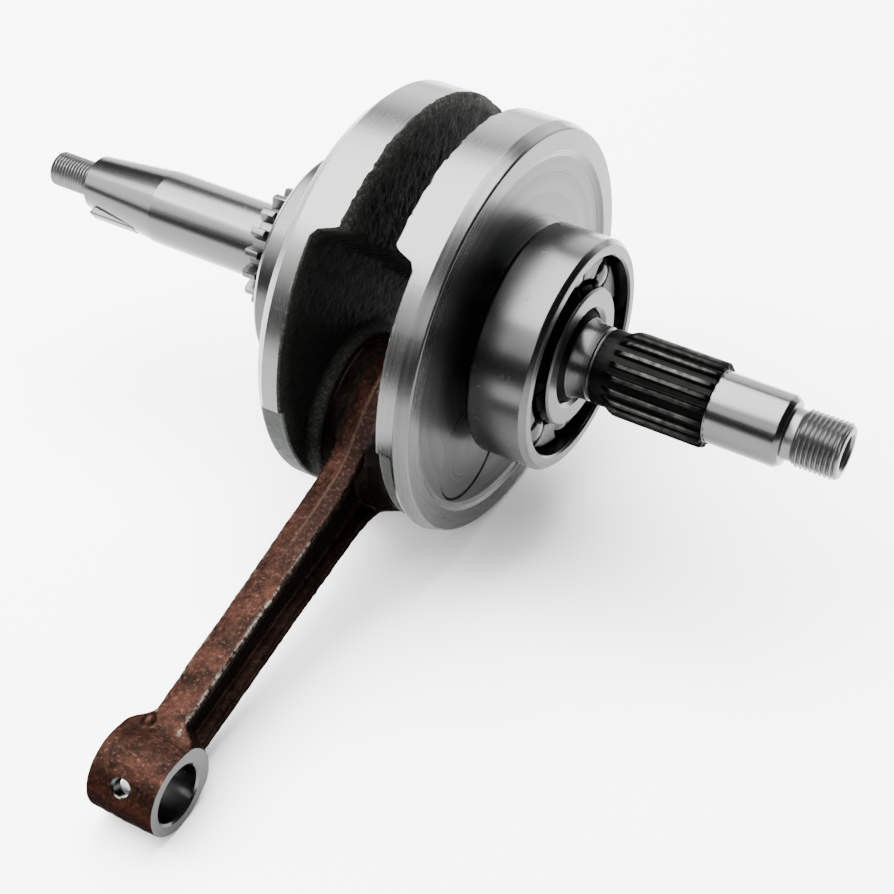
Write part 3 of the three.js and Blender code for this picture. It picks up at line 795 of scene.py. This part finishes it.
def make_bearing(side_name, side):
    centre = middle_of(f"{side_name}_bearing_outer_ring")
    half = BEARING_HALF
    # Slot 2, the raceways and shoulders between the rings, is painted shade.
    materials = [RING_STEEL, RING_FACE, SHADED_RACE_STEEL]
    outer = [(-half, OUTER_SHOULDER + 0.5, 0.2, 1), (-half, BEARING_OUTSIDE - 1.3, 0.45, 0),
             (-half + 1.3, BEARING_OUTSIDE - 0.02, 0.6, 0), (half - 1.3, BEARING_OUTSIDE - 0.02, 0.6, 0),
             (half, BEARING_OUTSIDE - 1.3, 0.45, 1), (half, OUTER_SHOULDER + 0.5, 0.2, 2),
             (half - 0.5, OUTER_SHOULDER, 0.2, 2)]
    outer += groove(OUTER_SHOULDER, 1, 2)[::-1] + [(-half + 0.5, OUTER_SHOULDER, 0.2, 2)]
    ring = turned_piece(f"{side_name}_outer_ring_body", outer, centre, side, materials)
    place_piece(finish_normals(ring, 50), f"{side_name}_bearing_outer", "bearing_steel",
                f"{side_name}_bearing_outer_ring")
    inner = [(-half + 0.5, INNER_SHOULDER, 0.2, 2)] + groove(INNER_SHOULDER, -1, 2)
    inner += [(half - 0.5, INNER_SHOULDER, 0.2, 1), (half, INNER_SHOULDER - 0.5, 0.2, 1),
              (half, BEARING_BORE + 1.1, 0.4, 0), (half - 1.1, BEARING_BORE + 0.02, 0.5, 0),
              (-half + 1.1, BEARING_BORE + 0.02, 0.5, 0), (-half, BEARING_BORE + 1.1, 0.4, 1),
              (-half, INNER_SHOULDER - 0.5, 0.2, 1)]
    ring = turned_piece(f"{side_name}_inner_ring_body", inner, centre, side, materials)
    place_piece(finish_normals(ring, 50), "crankshaft", "bearing_steel", f"{side_name}_bearing_inner_ring")
    spots = [middle_of(f"{side_name}_bearing_ball_{k}") for k in range(1, BALLS + 1)]
    turn = np.linspace(0, math.pi, BALL_STEPS + 1)
    along, radius = -(BALL - 0.03) * np.cos(turn), (BALL - 0.03) * np.sin(turn)
    radius[[0, -1]] = 0.0
    for k, spot in enumerate(spots, 1):
        ball = revolve(f"{side_name}_ball_{k}_body", along, radius, even_angles(72), spot, side, [BALL_STEEL],
                       np.zeros(BALL_STEPS, int))
        place_piece(ball, f"{side_name}_bearing_balls", "ball_steel", f"{side_name}_bearing_ball_{k}")
    make_ball_cage(side_name, side, centre, spots)


def make_ball_cage(side_name, side, centre, spots):
    """A snap-in cage: a ring with round pockets that open to the front."""
    inside, outside, back, front = 19.35, 25.8, -7.5, 4.9

    def field(x, y, z):
        radial = np.hypot(y, z)
        ring = soft_max(np.abs(radial - (inside + outside) / 2) - (outside - inside) / 2,
                        np.abs(x - (back + front) / 2) - (front - back) / 2, 0.9)
        nearest = np.min([np.sqrt(x ** 2 + (y - spot.y + centre.y) ** 2 + (z - spot.z + centre.z) ** 2)
                          for spot in spots], 0)
        return soft_max(ring, BALL + 0.25 - nearest, 0.7)

    reach = outside + 1
    low, high = (back - 1, -reach, -reach), (front + 1, reach, reach)
    points, faces = surface_net(field, low, high, 0.5)
    points[:, 0] *= side
    points += np.array(centre)
    piece = facing_out(make_object(f"{side_name}_ball_cage_body", points, faces, [CAGE_BLACK]))
    place_piece(piece, f"{side_name}_bearing_balls", "cage_black", f"{side_name}_bearing_cage")


# ---- solids from a distance field ----


def soft_min(a, b, k):
    h = np.clip(0.5 + 0.5 * (b - a) / k, 0, 1)
    return b + (a - b) * h - k * h * (1 - h)


def soft_max(a, b, k):
    return -soft_min(-a, -b, k)


def surface_net(field, low, high, step):
    """Vertices and quads of the surface where field(x, y, z) is zero, the inside being negative."""
    axes = [np.arange(a, b + step, step) for a, b in zip(low, high)]
    x, y, z = np.meshgrid(*axes, indexing="ij")
    value = field(x, y, z)
    inside = value < 0
    cells = tuple(n - 1 for n in value.shape)
    offsets = [(i, j, k) for i in (0, 1) for j in (0, 1) for k in (0, 1)]

    def corner(grid, o):
        return grid[o[0]:o[0] + cells[0], o[1]:o[1] + cells[1], o[2]:o[2] + cells[2]]

    total = np.zeros((*cells, 3))
    crossings = np.zeros(cells)
    for a in offsets:
        for axis in range(3):
            if a[axis]:
                continue
            b = tuple(v + (1 if n == axis else 0) for n, v in enumerate(a))
            va, vb = corner(value, a), corner(value, b)
            cross = corner(inside, a) != corner(inside, b)
            t = np.where(cross, va / np.where(cross, va - vb, 1), 0)
            for n in range(3):
                total[..., n] += np.where(cross, a[n] + (t if n == axis else 0), 0)
            crossings += cross
    used = crossings > 0
    number = np.full(cells, -1)
    number[used] = np.arange(used.sum())
    spot = total[used] / crossings[used][:, None]
    where = np.argwhere(used)
    points = np.array(low) + (where + spot) * step
    faces = []
    for axis in range(3):
        u, v = [n for n in range(3) if n != axis]
        here = [slice(1, -1)] * 3
        here[axis] = slice(0, -1)
        there = list(here)
        there[axis] = slice(1, None)
        crossed = np.argwhere(inside[tuple(here)] != inside[tuple(there)])
        start = crossed + np.array([0 if n == axis else 1 for n in range(3)])
        quad = []
        for du, dv in ((-1, -1), (0, -1), (0, 0), (-1, 0)):
            cell = start.copy()
            cell[:, u] += du
            cell[:, v] += dv
            quad.append(number[tuple(cell.T)])
        quad = np.stack(quad, 1)
        turned = inside[tuple(start.T)] == (axis == 1)
        quad[turned] = quad[turned][:, ::-1]
        faces.append(quad)
    faces = np.concatenate(faces)
    for _ in range(3):
        points = settle(points, field, step * 0.25)
    return points, [tuple(int(n) for n in f) for f in faces]


def settle(points, field, limit):
    """Moves points onto the field's surface along its slope."""
    small = 0.02
    value = field(*points.T)
    slope = np.stack([(field(*(points + d).T) - field(*(points - d).T)) / (2 * small)
                      for d in np.eye(3) * small], 1)
    move = -value[:, None] * slope / np.maximum((slope ** 2).sum(1), 0.05)[:, None]
    length = np.linalg.norm(move, axis=1)[:, None]
    return points + move * np.minimum(1, limit / np.maximum(length, 1e-9))


# ---- connecting rod ----

SHANK_HALF, CHANNEL_DEPTH, DRAFT = 4.45, 2.8, 0.12
BOSS_W, BOSS_L, BOSS_X = 8.0, ROD_CENTRES - 10.2, -3.9


def shank_height(l):
    """Half the height of the shank at its thin edges."""
    return 9.85 - 0.027 * (l - 40) - 0.3 * np.exp(-((l - 62) / 18) ** 2)


def rod_outline(big, shank, small):
    """The ends and the shank run into each other with wide fillets."""
    return soft_min(soft_min(big, shank, 13.0), small, 3.5)


def trough(inward, from_big, from_small):
    """Depth of the channel in each side of the shank."""
    between = smoothstep(from_big, 22.4, 24.6) * smoothstep(from_small, 12.0, 17.0)
    return CHANNEL_DEPTH * smoothstep(inward, 2.1, 4.6) * between


def rod_field(x, w, l):
    """The forged rod before machining: x across, w in the plane of swing, l from big end to small end."""
    wobble = 0.07 * FORGING(np.stack([x, w + 40, l], -1)) + 0.03 * FORGING_FINE(np.stack([x, w - 70, l], -1))
    draft = DRAFT * np.abs(x)
    from_big, from_small = np.hypot(w, l), np.hypot(w, l - ROD_CENTRES)
    big = from_big - (BIG_RADIUS - 0.15) + 1.4 * draft
    small = from_small - (SMALL_RADIUS - 0.15) + 0.2 * draft
    shank = np.abs(w) - shank_height(l) - DRAFT * SHANK_HALF + draft
    shank = np.maximum(shank, np.maximum(-l, l - ROD_CENTRES))
    outline = rod_outline(big, shank, small)
    half_width = SHANK_HALF - trough(-outline, from_big, from_small)
    half_width += (BIG_HALF + 0.6 - SHANK_HALF) * smoothstep(from_big, 25.0, 21.6)
    half_width += (SMALL_HALF + 0.6 - SHANK_HALF) * smoothstep(from_small, 16.0, 10.6)
    body = soft_max(outline, np.abs(x) - half_width, 0.5)
    boss = np.hypot(np.hypot(w - BOSS_W, (l - BOSS_L) * 0.7), x - BOSS_X) - 1.5
    return soft_min(body, boss, 0.8) + wobble


def rod_point(points):
    """Rows of (x, w, l) in the rod's own directions to places in the frame."""
    along = np.array([0, -math.cos(ROD_DIP), -math.sin(ROD_DIP)])
    up = np.array([0, -math.sin(ROD_DIP), math.cos(ROD_DIP)])
    side = np.array([1.0, 0, 0])
    return np.array(PIN_MIDDLE) + points[:, :1] * side + points[:, 1:2] * up + points[:, 2:] * along


def rod_spot(w, l):
    return Vector(rod_point(np.array([[0.0, w, l]]))[0])


def rod_shading(x, w, l):
    """How worn each point of the rod is, how much painted shade and painted floor reflection it gets, and how
    strongly its parting line and a painted shaded facet show.
    """
    from_big, from_small = np.hypot(w, l), np.hypot(w, l - ROD_CENTRES)
    shank = np.abs(w) - shank_height(l)
    inside = -rod_outline(from_big - BIG_RADIUS, shank, from_small - SMALL_RADIUS)
    width = np.abs(x)
    on_shank = smoothstep(from_big, 22.5, 25.0) * smoothstep(from_small, 12.0, 14.5)
    # Painted shade: the channel's floor and upper wall, not its lit lower wall, and the cheeks by the big
    # end.
    side = smoothstep(width, SHANK_HALF - 0.3, SHANK_HALF - 1.6) * smoothstep(inside, 0.5, 1.5) * on_shank
    side = side * smoothstep(w, -4.6, -2.8)
    cheek = smoothstep(width, SHANK_HALF, SHANK_HALF + 0.8) * smoothstep(from_big, 21.5, 23.0)
    hollow_shade = np.maximum(side, cheek * smoothstep(l, 4, 12) * (l < 60))
    edge = np.exp(-((width - SHANK_HALF + 0.1) / 0.42) ** 2 - ((inside - 0.15) / 0.45) ** 2)
    # Grey of the side faces and channel, stronger towards the top: a painted reflection of the floor.
    flank = smoothstep(width, SHANK_HALF - 0.6, SHANK_HALF - 0.1) * smoothstep(inside, 0.0, 0.7)
    flank = np.maximum(flank, smoothstep(inside, 1.6, 2.6) * on_shank) * smoothstep(from_small, 11.5, 14.0)
    return {
        "wear": edge * on_shank * smoothstep(l, 34, 66),
        "hollow_shade": hollow_shade,
        "flank": flank * (0.45 + 0.55 * smoothstep(w, -2.0, 2.0)),
        # Where the parting line shows, and where the right facet's painted shade is laid.
        "seam": smoothstep(l, 62, 38),
    }


def make_rod():
    step = 0.5
    points, faces = surface_net(rod_field, (-11, -25, -25), (11, 25, ROD_CENTRES + 13), step)
    piece = facing_out(make_object("connecting_rod_body", rod_point(points), faces, [COPPER, SATIN_STEEL],
                                   attributes=rod_shading(*points.T)))
    for tool in rod_tools():
        cut(piece, tool)
    place_piece(finish_normals(piece, 40), "connecting_rod", "rod_copper", "connecting_rod")


def rod_tools():
    """What is machined off the forging: both bores with chamfers, the side faces and the oil hole."""
    tools = []
    past, chamfer = 2, 0.55
    big_end, small_end = rod_spot(0, 0), rod_spot(0, ROD_CENTRES)
    for name, spot, half, bore, wide in (("big", big_end, BIG_HALF, BIG_BORE + 0.02, 28.0),
                                         ("small", small_end, SMALL_HALF, SMALL_BORE, 14.0)):
        for side in (-1, 1):
            slab = [(half, 0, 0, 0), (half, wide, 0, 0), (half + 3, wide, 0, 0), (half + 3, 0, 0, 0)]
            tools.append(turned_piece(f"{name}_face_{side}", slab, spot, side, [FACE_STEEL], 96, close=False))
        mouth = bore + chamfer + past
        drill = [(-half - past, 0, 0, 0), (-half - past, mouth, 0, 0), (-half + chamfer, bore, 0, 0),
                 (half - chamfer, bore, 0, 0), (half + past, mouth, 0, 0), (half + past, 0, 0, 0)]
        tools.append(turned_piece(f"{name}_bore_tool", drill, spot, 1, [SATIN_STEEL], 160, close=False))
    turn = ROD_DIP + math.pi - 47.4 * DEGREE
    out = Vector((0, math.cos(turn), math.sin(turn)))
    tools.append(drill_tool("oil_hole_tool", small_end + out * 4, out, 2.2, 2.2, 12))
    tools.append(drill_tool("oil_sink_tool", small_end + out * 10.1, out, 2.1, 4.1, 2.0))
    return tools


def drill_tool(name, start, direction, radius, far_radius, length):
    """A cone or cylinder across the shaft's direction."""
    across = Vector((1, 0, 0))
    other = direction.cross(across)
    points = []
    for reach, wide in ((0, radius), (length, far_radius)):
        for turn in even_angles(48):
            arm = across * math.cos(turn) + other * math.sin(turn)
            points.append(start + direction * reach + arm * wide)
    return prism(name, points, NECK_STEEL)


# ---- big end ----

NEEDLES, NEEDLE_RADIUS, NEEDLE_HALF = 14, 1.6, 6.9
CAGE_INSIDE, CAGE_OUTSIDE, CAGE_HALF = 15.05, 17.35, 8.35
SLOT_HALF_LENGTH, SLOT_HALF_WIDTH = 7.15, 1.9
WASHER_NEAR, WASHER_FAR, WASHER_INSIDE, WASHER_OUTSIDE = 9.7, 10.6, 14.85, 20.45


def make_big_end():
    needles = [f"needle_{number:02d}" for number in range(1, NEEDLES + 1)]
    half, radius = NEEDLE_HALF, NEEDLE_RADIUS
    corners = [(-half, 0, 0, 0), (-half, radius, 0.6, 0), (half, radius, 0.6, 0), (half, 0, 0, 0)]
    for node in needles:
        needle = turned_piece(f"{node}_body", corners, middle_of(node), 1, [NEEDLE_STEEL], 32, close=False)
        place_piece(finish_normals(needle), "big_end_needles", "needle_steel", node)
    corners = [(-CAGE_HALF, CAGE_INSIDE, 0.3, 0), (-CAGE_HALF, CAGE_OUTSIDE, 0.3, 0),
               (CAGE_HALF, CAGE_OUTSIDE, 0.3, 0), (CAGE_HALF, CAGE_INSIDE, 0.3, 0)]
    cage = turned_piece("big_end_cage_body", corners, PIN_MIDDLE, 1, [CAGE_STEEL], 112)
    for node in needles:
        cut(cage, slot_tool(middle_of(node)))
    place_piece(finish_normals(cage), "big_end_needles", "cage_steel", "big_end_cage")
    corners = [(WASHER_NEAR, WASHER_INSIDE, 0.15, 0), (WASHER_NEAR, WASHER_OUTSIDE, 0.25, 0),
               (WASHER_FAR, WASHER_OUTSIDE, 0.25, 0), (WASHER_FAR, WASHER_INSIDE, 0.15, 0)]
    for side_name, side in SIDES:
        washer = turned_piece(f"{side_name}_thrust_washer_body", corners, PIN_MIDDLE, side, [BRONZE], 128)
        place_piece(finish_normals(washer), f"{side_name}_thrust_washer", "washer_bronze",
                    f"thrust_washer_{side_name}")


def slot_tool(centre):
    """A block that cuts one needle's pocket through the cage."""
    out = (centre - Vector((centre.x, PIN_CENTRE.y, PIN_CENTRE.z))).normalized()
    across = out.cross(Vector((1, 0, 0)))
    points = [centre + Vector((x, 0, 0)) + across * w + out * h
              for x in (-SLOT_HALF_LENGTH, SLOT_HALF_LENGTH) for w in (-SLOT_HALF_WIDTH, SLOT_HALF_WIDTH)
              for h in (-3, 3)]
    faces = [(0, 1, 3, 2), (4, 6, 7, 5), (0, 4, 5, 1), (2, 3, 7, 6), (0, 2, 6, 4), (1, 5, 7, 3)]
    return facing_out(make_object("cage_slot_tool", points, faces, [CAGE_STEEL]))


# ---- stage ----

FLOOR_REACH = 620


def make_floor():
    corners = [(x * FLOOR_REACH, y * FLOOR_REACH, 0) for x, y in ((-1, -1), (1, -1), (1, 1), (-1, 1))]
    look = Look("floor_white", metallic=0.0, roughness=0.75, Base_Color=(0.93, 0.94, 0.935, 1))
    floor = make_object("floor", corners, [(0, 1, 2, 3)], [look.material])


def add_light(name, place, target, size, power):
    light = bpy.data.lights.new(name, "AREA")
    light.shape = "RECTANGLE"
    light.size, light.size_y = size
    light.energy = power
    holder = new_object(name, light)
    holder.location = place
    holder.rotation_euler = (Vector(target) - Vector(place)).to_track_quat("-Z", "Y").to_euler()


def make_lights():
    world = bpy.data.worlds.new("studio")
    bpy.context.scene.world = world
    world.use_nodes = True
    background = world.node_tree.nodes["Background"].inputs
    background["Color"].default_value = (0.80, 0.86, 0.84, 1)
    background["Strength"].default_value = 0.10
    add_light("overhead", (-0.28, 0.1, 1.0), (-0.1, 0, 0), (1.55, 0.9), 116)
    add_light("back_panel", (-0.15, 1.0, 0.35), (0, 0, 0.1), (1.5, 0.6), 18)
    add_light("left_panel", (-1.0, -0.55, 0.75), (0, 0, 0.05), (1.0, 1.0), 30)
    add_light("front_panel", (0.1, -0.85, 0.75), (0, 0, 0.05), (1.2, 0.5), 12)


CAMERA_PLACE = (0.2077, -0.2813, 0.3707)
CAMERA_TARGET = (0.02682, 0.01543, 0.03918)
CAMERA_ROLL = 1.2556 * DEGREE
CAMERA_LENS = 76.09


def make_camera():
    data = bpy.data.cameras.new("camera")
    data.lens = CAMERA_LENS
    camera = new_object("camera", data)
    look = (Vector(CAMERA_TARGET) - Vector(CAMERA_PLACE)).to_track_quat("-Z", "Y").to_matrix()
    turned = look @ Matrix.Rotation(-CAMERA_ROLL, 3, "Z")
    camera.matrix_world = Matrix.Translation(CAMERA_PLACE) @ turned.to_4x4()
    bpy.context.scene.camera = camera


make_camera()
make_lights()
make_floor()
make_crank_halves()
make_pin_and_key()
make_sprocket()
for side_name, side in SIDES:
    make_bearing(side_name, side)
make_rod()
make_big_end()
